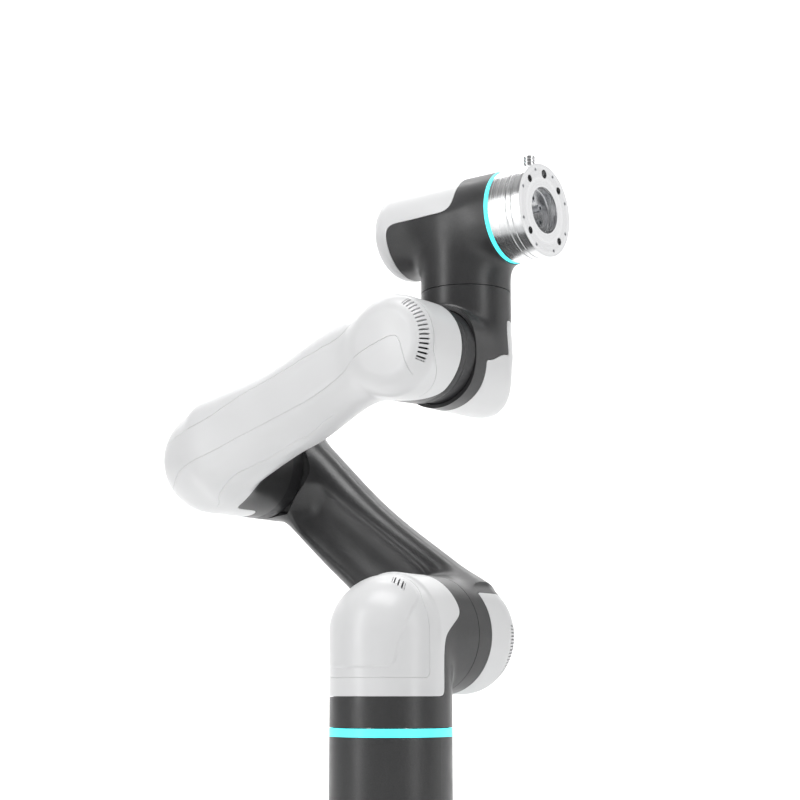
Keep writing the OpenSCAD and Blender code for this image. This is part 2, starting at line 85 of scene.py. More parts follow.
COLUMN_FOOT_Z = box_mm("shoulder_casting")[0][Z]
SHOULDER_SEAM_Y = box_mm("shoulder_casting")[1][Y]
UPPER_SEAM_Y = box_mm("upper_arm_casting")[0][Y]
ELBOW_SEAM_Y = box_mm("forearm_casting")[1][Y]
WRIST_SEAM_Y = box_mm("wrist_1_casting")[0][Y]
STUB_SEAM_Z = box_mm("wrist_1_casting")[1][Z]
TUBE_FOOT_Z = box_mm("wrist_2_casting")[0][Z]
RING_BACK_X = box_mm("wrist_2_light_ring")[0][X]

# ---- Sizes of the housings, as the CAD has them ---------------------------------------------------

COLUMN_R = 39.0
SHOULDER_R = 38.8
ELBOW_R = 38.0
HEAD_R = 33.4
NECK_R = 31.4
WRIST_R = 34.5
STUB_R = 30.8
TUBE_R = 31.6
SHOULDER_END_Y, SHOULDER_ROUND = 100.6, 24.0
ELBOW_END_Y, ELBOW_ROUND = 101.0, 9.0
ELBOW_FRONT_Y, ELBOW_FRONT_ROUND = -24.0, 36.0
HEAD_FRONT_Y, HEAD_ROUND = -31.0, 14.0
HEAD_END_Y = 8.7
TUBE_BACK_X, TUBE_ROUND = -62.2, 15.0

GAP = 0.35          # open gap between a shell and its casting
SHELL_T = 2.2       # wall of a white shell
HOUSING_T = 2.4     # wall of a casting's shell
FRAME_INSET = 2.6   # surface of an inner frame below the link's own surface
LINE_HALF_W = 0.3   # half the width of a fine seam line

# ---- Distance fields ------------------------------------------------------------------------------


def smooth_min(a, b, k):
    """The smaller of two fields, blended over the distance k."""
    h = np.maximum(k - np.abs(a - b), 0) / k
    return np.minimum(a, b) - h**3 * k / 6


def smooth_max(a, b, k):
    return -smooth_min(-a, -b, k)


def smooth_step(x, start, end):
    t = np.clip((x - start) / (end - start), 0, 1)
    return t * t * (3 - 2 * t)


def ramp(x, *knots):
    """A smooth curve through knots (place, value), level outside them."""
    value = knots[0][1]
    for (start, before), (end, after) in zip(knots, knots[1:]):
        value = value + (after - before) * smooth_step(x, start, end)
    return value


def round_box_2d(x, y, half_x, half_y, r):
    """A rectangle about the origin whose corners have the radius r."""
    dx, dy = np.abs(x) - half_x + r, np.abs(y) - half_y + r
    outside = np.hypot(np.maximum(dx, 0), np.maximum(dy, 0))
    return np.minimum(np.maximum(dx, dy), 0) + outside - r


def drum(p, middle, axis, radius, start, end, round_start=0.8, round_end=0.8):
    """A cylinder along an axis through the point middle, with rounded rims."""
    across = [i for i in (X, Y, Z) if i != axis]
    radial = np.hypot(*(p[..., i] - middle[i] for i in across))
    along = p[..., axis] - (start + end) / 2
    rim = np.where(along > 0, round_end, round_start)
    return round_box_2d(radial, along, radius, (end - start) / 2, rim)


def local(p, origin, direction):
    """Distances along a direction in the XZ plane, and square to it, upwards."""
    x, z = p[..., X] - origin[X], p[..., Z] - origin[Z]
    upwards = np.sign(direction[X])
    return x * direction[X] + z * direction[Z], (z * direction[X] - x * direction[Z]) * upwards


# ---- Meshing --------------------------------------------------------------------------------------


def gradient(field, p, step=0.02):
    ahead = np.eye(3) * step
    return np.stack([field(p + a) - field(p - a) for a in ahead], -1) / (2 * step)


def settle(field, p, rounds=3):
    """Moves points along the gradient onto the field's zero surface."""
    for _ in range(rounds):
        g = gradient(field, p)
        p = p - g * (field(p) / np.maximum((g**2).sum(-1), 1e-6))[..., None]
    return p


def surface(field, low, high, cell):
    """The field's zero surface inside a box, as triangles (surface nets)."""
    count = np.ceil((np.array(high) - low) / cell).astype(int) + 1
    axes = [low[i] + cell * np.arange(count[i]) for i in range(3)]
    values = field(np.stack(np.meshgrid(*axes, indexing="ij"), -1))
    inside = values < 0
    size = np.array(inside.shape) - 1
    corners = [(i, j, k) for i in (0, 1) for j in (0, 1) for k in (0, 1)]
    filled = sum(inside[i:i + size[0], j:j + size[1], k:k + size[2]].astype(int) for i, j, k in corners)
    active = (filled > 0) & (filled < 8)
    index = np.full(active.shape, -1)
    index[active] = np.arange(active.sum())
    cells = np.argwhere(active)
    total, hits = np.zeros((len(cells), 3)), np.zeros(len(cells))
    for axis in range(3):
        ahead = np.eye(3, dtype=int)[axis]
        for corner in corners:
            if corner[axis]:
                continue
            a = cells + corner
            va, vb = values[tuple(a.T)], values[tuple((a + ahead).T)]
            crossed = (va < 0) != (vb < 0)
            t = np.where(crossed, va / np.where(crossed, va - vb, 1), 0)
            total += np.where(crossed[:, None], a + t[:, None] * ahead, 0)
            hits += crossed
    points = np.array(low) + cell * total / hits[:, None]
    triangles = []
    for axis in range(3):
        b, c = np.eye(3, dtype=int)[(axis + 1) % 3], np.eye(3, dtype=int)[(axis + 2) % 3]
        edge = np.diff(inside.astype(int), axis=axis)
        start = np.argwhere(edge != 0)
        keep = (start[:, (axis + 1) % 3] > 0) & (start[:, (axis + 2) % 3] > 0)
        keep &= (start < size).all(1)
        start = start[keep]
        outward = edge[tuple(start.T)] < 0
        quad = np.stack([index[tuple((start - o).T)] for o in (0 * b, b, b + c, c)], 1)
        quad = np.where(outward[:, None], quad, quad[:, ::-1])
        quad = quad[(quad >= 0).all(1)]
        triangles += [quad[:, [0, 1, 2]], quad[:, [0, 2, 3]]]
    return settle(field, points), np.concatenate(triangles)


def edge_keys(faces, count):
    ends = np.stack([faces, np.roll(faces, -1, 1)], -1)
    return ends, ends.min(-1) * count + ends.max(-1)


def split_edges(points, faces, marked, places):
    """Splits the marked edges (sorted keys) at the given places, and every triangle on them."""
    count = len(points)
    _, keys = edge_keys(faces, count)
    slot_of = np.searchsorted(marked, keys)
    found = marked[np.minimum(slot_of, len(marked) - 1)] == keys
    middle = np.where(found, count + slot_of, -1)
    points = np.concatenate([points, places])
    splits = found.sum(1)
    out = [faces[splits == 0]]
    # turn each triangle so that its unsplit edge, or its only split edge, is the last one
    one, two, three = (splits == n for n in (1, 2, 3))
    turn = np.where(one, (found.argmax(1) + 1) % 3, (np.argmin(found, 1) + 1) % 3)
    order = (turn[:, None] + np.arange(3)) % 3
    rows = np.arange(len(faces))[:, None]
    f, m = faces[rows, order], middle[rows, order]
    a, b, c = f[one].T
    n = m[one][:, 2]
    out += [np.stack([a, b, n], 1), np.stack([n, b, c], 1)]
    a, b, c = f[two].T
    ab, bc = m[two][:, 0], m[two][:, 1]
    out += [np.stack([ab, b, bc], 1), np.stack([a, ab, bc], 1), np.stack([a, bc, c], 1)]
    a, b, c = faces[three].T
    ab, bc, ca = middle[three].T
    out += [np.stack(t, 1) for t in ((a, ab, ca), (ab, b, bc), (ca, bc, c), (ab, bc, ca))]
    return points, np.concatenate(out)


def refine(field, points, faces, wanted):
    """Halves the edges of the triangles whose middles are wanted."""
    chosen = faces[wanted(points[faces].mean(1))]
    marked = np.unique(edge_keys(chosen, len(points))[1])
    if not len(marked):
        return points, faces
    ends = np.stack([marked // len(points), marked % len(points)], 1)
    places = settle(field, points[ends].mean(1), 2)
    return split_edges(points, faces, marked, places)


def onto_line(field, guide, p):
    """Moves points to where the guide is zero on the field's surface."""
    for _ in range(4):
        n = gradient(field, p)
        n /= np.linalg.norm(n, axis=-1, keepdims=True)
        g = gradient(guide, p)
        g -= n * (g * n).sum(-1, keepdims=True)
        size = np.maximum((g**2).sum(-1), 0.05)
        step = g * (guide(p) / size)[..., None]
        length = np.linalg.norm(step, axis=-1, keepdims=True)
        p = p - step * np.minimum(1, 0.6 / np.maximum(length, 1e-9))
        p = settle(field, p, 1)
    return p


def cut(field, points, faces, guide, snap=0.12):
    """Puts edges where the guide is zero."""
    value = guide(points)
    near = np.abs(value) < snap
    points = points.copy()
    if near.any():
        points[near] = onto_line(field, guide, points[near])
    value = np.where(near, 0, guide(points))
    ends, keys = edge_keys(faces, len(points))
    crossed = value[ends[..., 0]] * value[ends[..., 1]] < 0
    marked = np.unique(keys[crossed])
    if not len(marked):
        return points, faces
    a, b = marked // len(points), marked % len(points)
    t = (value[a] / (value[a] - value[b]))[:, None]
    places = onto_line(field, guide, points[a] * (1 - t) + points[b] * t)
    return split_edges(points, faces, marked, places)


def part_of(points, faces, guide):
    """The triangles on the negative side of a guide that the mesh was cut along."""
    middle = points[faces].mean(1)
    return faces[guide(middle) < 0]


def compact(points, faces):
    used, faces = np.unique(faces, return_inverse=True)
    return points[used], faces.reshape(-1, 3)


def shell(field, points, faces, thickness, sink=None):
    """A closed shell on the outer triangles, with its corner normals."""
    points, faces = compact(points, faces)
    normal = gradient(field, points)
    normal /= np.linalg.norm(normal, axis=1, keepdims=True)
    top = points if sink is None else points - normal * sink(points)[:, None]
    count = len(points)
    ends, keys = edge_keys(faces, count)
    unique, times = np.unique(keys, return_counts=True)
    open_edge = np.isin(keys, unique[times == 1])
    a, b = ends[open_edge].T
    rim = np.concatenate([np.stack([b, a, a + count], 1), np.stack([b, a + count, b + count], 1)])
    below = points - normal * thickness
    all_points = np.concatenate([top, below])
    all_faces = np.concatenate([faces, faces[:, ::-1] + count, rim])
    flat = np.cross(*(all_points[all_faces[:, i]] - all_points[all_faces[:, 0]] for i in (1, 2)))
    flat /= np.maximum(np.linalg.norm(flat, axis=1, keepdims=True), 1e-12)
    smooth = np.concatenate([normal, -normal])[all_faces]
    agrees = (smooth * flat[:, None]).sum(-1) > math.cos(math.radians(22))
    agrees[2 * len(faces):] = False
    corner = np.where(agrees[..., None], smooth, flat[:, None])
    return all_points, all_faces, corner


def build(name, points, faces, corner, body, slot, material, replaces=()):
    """A Blender object from millimetre points, riding on a body."""
    mesh = bpy.data.meshes.new(name)
    mesh.from_pydata((points * MM).tolist(), [], faces.tolist())
    mesh.materials.append(material)
    mesh.polygons.foreach_set("use_smooth", np.ones(len(faces), bool))
    if corner is not None:
        mesh.normals_split_custom_set(corner.reshape(-1, 3).tolist())
    piece = bpy.data.objects.new(name, mesh)
    bpy.context.scene.collection.objects.link(piece)
    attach(piece, body)
    if replaces:
        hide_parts(*replaces)
    return piece


class Link:
    """One link's surface, ready to be cut into its pieces."""

    def __init__(self, field, low, high, cell, body):
        self.field, self.body = field, body
        self.low, self.high = np.array(low, float), np.array(high, float)
        self.points, self.faces = surface(field, self.low, self.high, cell)

    def refine(self, wanted):
        self.points, self.faces = refine(self.field, self.points, self.faces, wanted)

    def cut(self, guide, levels=(0,)):
        for level in levels:
            shifted = lambda p, level=level: guide(p) - level
            self.points, self.faces = cut(self.field, self.points, self.faces, shifted)

    def cut_line(self, guide):
        """Puts edges along both sides and the middle of a fine line."""
        self.cut(guide, (-LINE_HALF_W, 0, LINE_HALF_W))

    def cut_gap(self, region):
        """Puts edges along both sides of the gap round a shell."""
        self.cut(region, (-GAP / 2, GAP / 2))

    def piece(self, name, region, thickness, slot, material, replaces=(), sink=None):
        """A shell over the part of the surface where the region is negative."""
        faces = part_of(self.points, self.faces, region)
        parts = shell(self.field, self.points, faces, thickness, sink)
        return build(name, *parts, self.body, slot, material, replaces)

    def inner(self, name, region, slot, material, cell=2.5, replaces=()):
        """The link's inner frame: a solid a little below its surface, inside a region."""
        def field(p):
            return np.maximum(self.field(p) + FRAME_INSET, region(p))
        points, faces = surface(field, self.low, self.high, cell)
        return build(name, points, faces, None, self.body, slot, material, replaces)


# ---- Materials ------------------------------------------------------------------------------------


class Finish:
    """A procedural material in the making."""

    def __init__(self, name, colour, roughness, metallic=0.0):
        self.material = bpy.data.materials.new(name)
        self.material.use_nodes = True
        self.tree = self.material.node_tree
        self.shader = self.tree.nodes["Principled BSDF"]
        self.shader.inputs["Base Color"].default_value = (*colour, 1)
        self.shader.inputs["Roughness"].default_value = roughness
        self.shader.inputs["Metallic"].default_value = metallic
        self.place = self.node("ShaderNodeTexCoord").outputs["Object"]
        self.bumped = None

    def node(self, kind, **settings):
        node = self.tree.nodes.new(kind)
        for key, value in settings.items():
            setattr(node, key, value)
        return node

    def link(self, a, b):
        self.tree.links.new(a, b)

    def noise(self, size_mm, detail=3.0, place=None):
        """Noise whose blobs are about size_mm across."""
        noise = self.node("ShaderNodeTexNoise")
        noise.inputs["Scale"].default_value = 1000 / size_mm
        noise.inputs["Detail"].default_value = detail
        self.link(place or self.place, noise.inputs["Vector"])
        return noise.outputs["Fac"]

    def spread(self, value, low, high, start=0.3, end=0.7):
        remap = self.node("ShaderNodeMapRange")
        for key, number in zip(("From Min", "From Max", "To Min", "To Max"), (start, end, low, high)):
            remap.inputs[key].default_value = number
        self.link(value, remap.inputs["Value"])
        return remap.outputs["Result"]

    def vary_roughness(self, value, low, high):
        self.link(self.spread(value, low, high), self.shader.inputs["Roughness"])

    def vary_colour(self, value, dark, light):
        ramp = self.node("ShaderNodeValToRGB")
        ramp.color_ramp.elements[0].color = (*dark, 1)
        ramp.color_ramp.elements[1].color = (*light, 1)
        ramp.color_ramp.elements[0].position = 0.3
        ramp.color_ramp.elements[1].position = 0.7
        self.link(value, ramp.inputs["Fac"])
        self.link(ramp.outputs["Color"], self.shader.inputs["Base Color"])

    def bump(self, value, depth_mm, strength=1.0):
        bump = self.node("ShaderNodeBump")
        bump.inputs["Distance"].default_value = depth_mm * MM
        bump.inputs["Strength"].default_value = strength
        self.link(value, bump.inputs["Height"])
        if self.bumped:
            self.link(self.bumped, bump.inputs["Normal"])
        self.bumped = bump.outputs["Normal"]
        self.link(self.bumped, self.shader.inputs["Normal"])

    def radius(self, middle, axis):
        """Distance from an axis through a point, in metres."""
        away = self.node("ShaderNodeVectorMath", operation="SUBTRACT")
        away.inputs[1].default_value = tuple(np.array(middle) * MM)
        self.link(self.place, away.inputs[0])
        flat = self.node("ShaderNodeVectorMath", operation="MULTIPLY")
        flat.inputs[1].default_value = tuple(0.0 if i == axis else 1.0 for i in range(3))
        self.link(away.outputs[0], flat.inputs[0])
        length = self.node("ShaderNodeVectorMath", operation="LENGTH")
        self.link(flat.outputs[0], length.inputs[0])
        return length.outputs["Value"]

    def along(self, axis):
        split = self.node("ShaderNodeSeparateXYZ")
        self.link(self.place, split.inputs[0])
        return split.outputs[axis]

    def join(self, x, y):
        """A vector from two numbers."""
        pair = self.node("ShaderNodeCombineXYZ")
        self.link(x, pair.inputs[0])
        self.link(y, pair.inputs[1])
        return pair.outputs[0]


def white_shell():
    """Satin moulded plastic: a fine spark-eroded texture and faint handling marks."""
    m = Finish("white_shell", (0.68, 0.683, 0.688), 0.34)
    m.vary_colour(m.noise(60, 2), (0.665, 0.668, 0.673), (0.695, 0.698, 0.703))
    m.vary_roughness(m.noise(9, 4), 0.3, 0.42)
    m.bump(m.noise(14, 2), 0.02)
    m.bump(m.noise(0.35, 2), 0.006)
    m.shader.inputs["Coat Weight"].default_value = 0.12
    m.shader.inputs["Coat Roughness"].default_value = 0.2
    return m.material


def charcoal_casting():
    """Powder coat over cast aluminium: orange peel, fine speckle, a little shine."""
    m = Finish("charcoal_casting", (0.036, 0.036, 0.037), 0.34)
    m.vary_colour(m.noise(0.5, 3), (0.029, 0.029, 0.03), (0.043, 0.043, 0.044))
    m.vary_roughness(m.noise(12, 4), 0.3, 0.38)
    m.bump(m.noise(2.2, 2), 0.02)
    m.bump(m.noise(0.4, 2), 0.012)
    return m.material


# Near-black matte finish for the inner frames, darker than the charcoal casting they stand for: painted
# shade that shows through the gaps and vents.
def inner_painted_shade():
    m = Finish("inner_painted_shade", (0.012, 0.012, 0.013), 0.7)
    m.vary_roughness(m.noise(3, 3), 0.6, 0.8)
    m.bump(m.noise(0.6, 2), 0.01)
    return m.material


def black_plastic():
    m = Finish("black_plastic", (0.018, 0.018, 0.02), 0.45)
    m.vary_colour(m.noise(1.5, 3), (0.014, 0.014, 0.015), (0.024, 0.024, 0.026))
    m.vary_roughness(m.noise(4, 3), 0.38, 0.52)
    m.bump(m.noise(0.5, 2), 0.01)
    return m.material


def turned_aluminium(name, middle, axis):
    """Aluminium turned about an axis: fine rings of tool marks on faces and rims."""
    m = Finish(name, (0.8, 0.803, 0.81), 0.24, 1.0)
    rings = m.join(m.radius(middle, axis), m.along(axis))
    m.vary_colour(m.noise(2.5, 2, rings), (0.74, 0.743, 0.75), (0.84, 0.843, 0.85))
    m.vary_roughness(m.noise(1.2, 3, rings), 0.2, 0.3)
    m.bump(m.noise(0.5, 2, rings), 0.0012)
    m.bump(m.noise(8, 2), 0.01)
    return m.material


def steel():
    m = Finish("steel", (0.5, 0.51, 0.53), 0.32, 1.0)
    m.vary_colour(m.noise(0.8, 3), (0.42, 0.43, 0.45), (0.58, 0.59, 0.61))
    m.vary_roughness(m.noise(0.5, 3), 0.25, 0.42)
    m.bump(m.noise(0.3, 2), 0.006)
    return m.material


def cyan_light():
    """A frosted light ring: even glow with the faint clouds of a diffuser."""
    m = Finish("cyan_light", (0.1, 0.75, 0.8), 0.4)
    ramp = m.node("ShaderNodeValToRGB")
    ramp.color_ramp.elements[0].color = (0.05, 0.78, 0.82, 1)
    ramp.color_ramp.elements[1].color = (0.1, 0.95, 0.97, 1)
    m.link(m.noise(6, 2), ramp.inputs["Fac"])
    m.link(ramp.outputs["Color"], m.shader.inputs["Emission Color"])
    m.shader.inputs["Emission Strength"].default_value = 0.9
    m.vary_roughness(m.noise(1.5, 3), 0.35, 0.5)
    m.bump(m.noise(0.6, 2), 0.008)
    return m.material


def board_green():
    m = Finish("board_green", (0.02, 0.14, 0.06), 0.35)
    m.vary_colour(m.noise(2.5, 4), (0.01, 0.09, 0.035), (0.03, 0.2, 0.09))
    m.vary_roughness(m.noise(1, 2), 0.28, 0.45)
    m.bump(m.noise(1.2, 1), 0.03)
    return m.material


def copper_windings():
    m = Finish("copper_windings", (0.75, 0.36, 0.16), 0.35, 1.0)
    m.vary_colour(m.noise(0.7, 2), (0.5, 0.2, 0.08), (0.85, 0.45, 0.22))
    m.vary_roughness(m.noise(0.7, 2), 0.25, 0.5)
    m.bump(m.noise(0.7, 1), 0.08)
    return m.material


WHITE = white_shell()
CHARCOAL = charcoal_casting()
# The inner frames take this near-black painted shade instead of the charcoal casting's own colour.
INNER_PAINTED_SHADE = inner_painted_shade()
BLACK = black_plastic()
STEEL = steel()
CYAN = cyan_light()
BOARD = board_green()
COPPER = copper_windings()
TURNED = turned_aluminium("turned_aluminium", TOOL, X)

# ---- Shoulder -------------------------------------------------------------------------------------

COVER_FOOT_Z = box_mm("shoulder_front_cover")[0][Z]
COVER_EDGE_Y = 4.4
LOBE_EDGE_Y = 25.5
LOBE_Z = SHOULDER[Z] - 5


def shoulder_body(p):
    dome = np.linalg.norm((p - SHOULDER) * (1, 1, 1.05), axis=-1) - COLUMN_R
    column = np.where(p[..., Z] > SHOULDER[Z], dome, np.hypot(p[..., X], p[..., Y]) - COLUMN_R)
    return smooth_min(column, drum(p, SHOULDER, Y, SHOULDER_R, 0, 75), 5)


def shoulder_panel(p):
    """Outline of the raised panel on the cover's front."""
    half_width = 26.5 + 5.5 * smooth_step(p[..., Z], 148, 184)
    sides = np.abs(p[..., X]) - half_width
    return smooth_max(smooth_max(sides, COVER_FOOT_Z + 17.6 - p[..., Z], 9), p[..., Y] + 8.5, 10)


def shoulder_form(p):
    return shoulder_body(p) - 0.55 * (1 - smooth_step(shoulder_panel(p), -1.3, 0))


def shoulder_cover_region(p):
    y, z = p[..., Y], p[..., Z]
    lobe = smooth_max(y - LOBE_EDGE_Y, LOBE_Z + 0.68 * y - z, 8)
    front = smooth_max(y - COVER_EDGE_Y, COVER_FOOT_Z - z, 7)
    return smooth_min(front, lobe, 10)


def shoulder_kept(p):
    """The shoulder ends at the seams of its two joints."""
    return np.maximum(p[..., Y] - SHOULDER_SEAM_Y, COLUMN_FOOT_Z - p[..., Z])


def shoulder_line(p):
    """The fine step line that runs round the cover's edge."""
    edge_y = -9.8 + 6 * smooth_step(p[..., Z], 184, 205)
    return smooth_max(p[..., Y] - edge_y, COVER_FOOT_Z + 11.5 - p[..., Z], 6)


def on_line(guide, p):
    """Whether points are in the middle of a line that was cut by cut_line."""
    return np.abs(guide(p)) < LINE_HALF_W / 2


def shoulder_groove(p):
    return np.where(on_line(shoulder_line, p), 0.35, 0.0)


def slots(along, across, count, pitch, length, width):
    """A row of slots with round ends: along counts them, across is their length."""
    number = np.clip(np.round(along / pitch), -(count - 1) / 2, (count - 1) / 2)
    return round_box_2d(along - number * pitch, across, width / 2, length / 2, width / 2)


def shoulder_vents(p):
    """Short slanted slots on the crown, behind the panel."""
    x, y = p[..., X] - 17, p[..., Y] + 14
    row = slots(x + 0.5 * y, y, 4, 3.0, 7, 1.1)
    return np.maximum(row, SHOULDER[Z] + 20 - p[..., Z])


def make_shoulder():
    link = Link(shoulder_form, (-42, -42, 106), (42, 48, 212), 1.2, "shoulder")
    link.refine(lambda p: shoulder_vents(p) < 1.5)
    link.refine(lambda p: shoulder_vents(p) < 0.9)
    link.cut(shoulder_panel, (-1.3, 0))
    link.cut_line(shoulder_line)
    link.cut(lambda p: p[..., Y] - SHOULDER_SEAM_Y)
    link.cut(lambda p: p[..., Z] - COLUMN_FOOT_Z)
    link.cut_gap(shoulder_cover_region)
    link.cut(shoulder_vents)
    cover = lambda p: np.maximum(shoulder_cover_region(p) + GAP / 2, -shoulder_vents(p))
    casting = lambda p: np.maximum(shoulder_kept(p), GAP / 2 - shoulder_cover_region(p))
    link.piece("shoulder_cover_shell", cover, SHELL_T, "white_shell", WHITE,
               ["shoulder_front_cover"], shoulder_groove)
    link.piece("shoulder_housing", casting, HOUSING_T, "charcoal_casting", CHARCOAL)
    inner = lambda p: shoulder_kept(p) + 0.3
    link.inner("shoulder_frame", inner, "charcoal_casting", CHARCOAL, 2.0, ["shoulder_casting"])


# ---- Upper arm ------------------------------------------------------------------------------------

BEAM_Y = (74.0, 81.0)       # middle of the beam, at the shoulder and at the elbow
BEAM_HALF_DEPTH = 16.0
CAP_EDGE_Y = 57.6
ELBOW_CAP_EDGE_Y = 87.0


def beam_middle(t):
    return BEAM_Y[0] + (BEAM_Y[1] - BEAM_Y[0]) * t / UPPER_LEN


def upper_beam(p):
    """The beam between the drums; its edges are given above and below their middle line."""
    t, w = local(p, SHOULDER, UPPER_DIR)
    top = ramp(t, (0, 38.6), (105, 33.8), (210, 40.0))
    low = ramp(t, (0, 38.6), (105, 27.6), (210, 24.0))
    across, depth = w - (top - low) / 2, p[..., Y] - beam_middle(t)
    section = round_box_2d(across, depth, (top + low) / 2, BEAM_HALF_DEPTH, 14)
    return np.maximum(section, np.abs(t - UPPER_LEN / 2) - 98)


def upper_arm_form(p):
    t, w = local(p, SHOULDER, UPPER_DIR)
    lower = drum(p, SHOULDER, Y, SHOULDER_R, 34, SHOULDER_END_Y, 0.8, SHOULDER_ROUND)
    upper = drum(p, ELBOW, Y, ELBOW_R, 54, ELBOW_END_Y, 0.8, ELBOW_ROUND)
    body = smooth_min(smooth_min(lower, upper_beam(p), 14), upper, 14)
    # a long scoop in the face, deepest at the elbow, under a ridge on the upper side
    face = beam_middle(t) - BEAM_HALF_DEPTH
    past = t - np.clip(t, 48, 150)
    across = w - ramp(t, (48, 4.0), (150, 0.0))
    scoop = np.sqrt(past**2 + across**2 + (p[..., Y] - face + 19) ** 2) - 28
    return smooth_max(body, -scoop, 4)


def upper_arm_seam(p):
    """The seam faces of the two joints, with a step between them along the arm."""
    t, _ = local(p, SHOULDER, UPPER_DIR)
    return ramp(t, (158, UPPER_SEAM_Y), (171, ELBOW_SEAM_Y + 0.5)) - p[..., Y]


def shoulder_cap_region(p):
    t, w = local(p, SHOULDER, UPPER_DIR)
    band = smooth_max(smooth_max(-28 - w, p[..., Y] - 93, 8), -5 - t, 5)
    return smooth_max(smooth_max(CAP_EDGE_Y - p[..., Y], -band, 3), t - 60, 1)


def elbow_cap_region(p):
    t, w = local(p, SHOULDER, UPPER_DIR)
    band = smooth_max(smooth_max(-26 - w, p[..., Y] - 98.5, 4), t - UPPER_LEN + 4, 8)
    edge = smooth_max(ELBOW_CAP_EDGE_Y - p[..., Y], -band, 4)
    return smooth_max(edge, UPPER_LEN - 60 - t, 1)


def cap_vents(p):
    """Slots in an arc low on the cap's far rim."""
    x, z = p[..., X] - SHOULDER[X], p[..., Z] - SHOULDER[Z]
    angle = np.arctan2(z, x) + math.radians(18)
    reach = np.hypot(x, z)
    row = slots(angle * 40, p[..., Y] - 84, 17, 2.4, 6.5, 1.1)
    return np.maximum(row, 25 - reach)


def make_upper_arm():
    low = (ELBOW[X] - 42, 30, SHOULDER[Z] - 42)
    high = (SHOULDER[X] + 42, 104, ELBOW[Z] + 42)
    link = Link(upper_arm_form, low, high, 1.35, "upper_arm")
    link.refine(lambda p: cap_vents(p) < 1.5)
    link.refine(lambda p: cap_vents(p) < 0.9)
    link.cut(upper_arm_seam)
    link.cut_gap(shoulder_cap_region)
    link.cut_gap(elbow_cap_region)
    link.cut(cap_vents)
    caps = lambda p: np.minimum(shoulder_cap_region(p), elbow_cap_region(p))
    casting = lambda p: np.maximum(upper_arm_seam(p), GAP / 2 - caps(p))
    cap = lambda p: np.maximum(shoulder_cap_region(p) + GAP / 2, -cap_vents(p))
    link.piece("upper_arm_housing", casting, HOUSING_T, "charcoal_casting", CHARCOAL)
    link.piece("shoulder_cap_shell", cap, SHELL_T, "white_shell", WHITE, ["upper_arm_shoulder_cap"])
    elbow_cap = lambda p: elbow_cap_region(p) + GAP / 2
    link.piece("elbow_cap_shell", elbow_cap, SHELL_T, "white_shell", WHITE, ["upper_arm_elbow_cap"])
    inner = lambda p: upper_arm_seam(p) + 0.4
    link.inner("upper_arm_frame", inner, "charcoal_casting", INNER_PAINTED_SHADE, 2.5, ["upper_arm_casting"])


# ---- Forearm --------------------------------------------------------------------------------------

COLLAR_EDGE_Y = 41.8


def forearm_form(p):
    u, w = local(p, ELBOW, FORE_DIR)
    y = p[..., Y]
    elbow = drum(p, ELBOW, Y, ELBOW_R, ELBOW_FRONT_Y, 80, ELBOW_FRONT_ROUND)
    head = drum(p, WRIST, Y, HEAD_R, HEAD_FRONT_Y, HEAD_END_Y + 9, HEAD_ROUND, 6)
    neck = drum(p, WRIST, Y, NECK_R, 0, 50)
    top = ramp(u, (10, 35.5), (80, 31.3), (150, 37.6), (193, 31.0))
    low = ramp(u, (10, 35.5), (90, 27.6), (150, 20.0))
    beam = round_box_2d(w - (top - low) / 2, y + 2, (top + low) / 2, 22, 20)
    beam = smooth_max(beam, np.abs(u - FORE_LEN / 2 - 4) - FORE_LEN / 2 + 4, 18)
    return smooth_min(smooth_min(smooth_min(elbow, beam, 18), head, 22), neck, 2)


def forearm_cover_region(p):
    u, w = local(p, ELBOW, FORE_DIR)
    y = p[..., Y]
    edge = HEAD_END_Y + 7 - 7 * smooth_step(u, 90, 170)
    edge = edge - 14 * smooth_step(-w, 16, 32) * ramp(u, (135, 0.0), (175, 1.0), (205, 0.0))
    collar = smooth_max(y - COLLAR_EDGE_Y, u - 4, 10)
    return smooth_min(y - edge, collar, 12)


def forearm_kept(p):
    u, _ = local(p, ELBOW, FORE_DIR)
    seam = np.where(u < FORE_LEN / 2, ELBOW_SEAM_Y, WRIST_SEAM_Y - 0.5)
    return p[..., Y] - seam


def black_region(p):
    """The black sleeves beside the first wrist's joint and the elbow's joint."""
    u, w = local(p, ELBOW, FORE_DIR)
    neck = np.maximum(HEAD_END_Y - p[..., Y], np.hypot(u - FORE_LEN, w) - HEAD_R - 1.5)
    return np.minimum(neck, np.maximum(52 - p[..., Y], u - 60))


def forearm_vents(p):
    """Slots in an arc round the head's front rim."""
    u, w = local(p, ELBOW, FORE_DIR)
    angle, reach = np.arctan2(w, u - FORE_LEN), np.hypot(u - FORE_LEN, w)
    row = slots(angle * 29, reach - 29.3, 16, 3.0, 4.8, 1.2)
    return np.maximum(row, p[..., Y] + 14)


def panel_top_line(p):
    u, w = local(p, ELBOW, FORE_DIR)
    return w - ramp(u, (20, 15.0), (75, 19.8), (150, 21.5), (186, 31.0))


def panel_low_line(p):
    u, w = local(p, ELBOW, FORE_DIR)
    height = ramp(u, (-26, -16.0), (2, -9.2), (60, -8.5), (110, -8.3), (190, 1.8))
    return smooth_max(w - height, u - 205.5, 12)


def belly_line(p):
    u, w = local(p, ELBOW, FORE_DIR)
    return w - ramp(u, (0, -37.2), (46, -28.4), (100, -25.5), (130, -21.0))


def head_line(p):
    _, w = local(p, ELBOW, FORE_DIR)
    return p[..., Y] + ramp(w, (-36, 4.0), (-14, 21.0))


def forearm_groove(p):
    """The fine seam lines of the white cover, each over its own stretch."""
    u, w = local(p, ELBOW, FORE_DIR)
    y = p[..., Y]
    runs = [(panel_top_line, (y < 2) & (u < 190)), (panel_low_line, (y < -5) & (w > -27)),
            (belly_line, (y < 12) & (u > 1) & (u < 128)), (head_line, (u > 192) & (w < 22) & (w > -35))]
    return sum(np.where(on_line(line, p) & run, 0.4, 0.0) for line, run in runs)


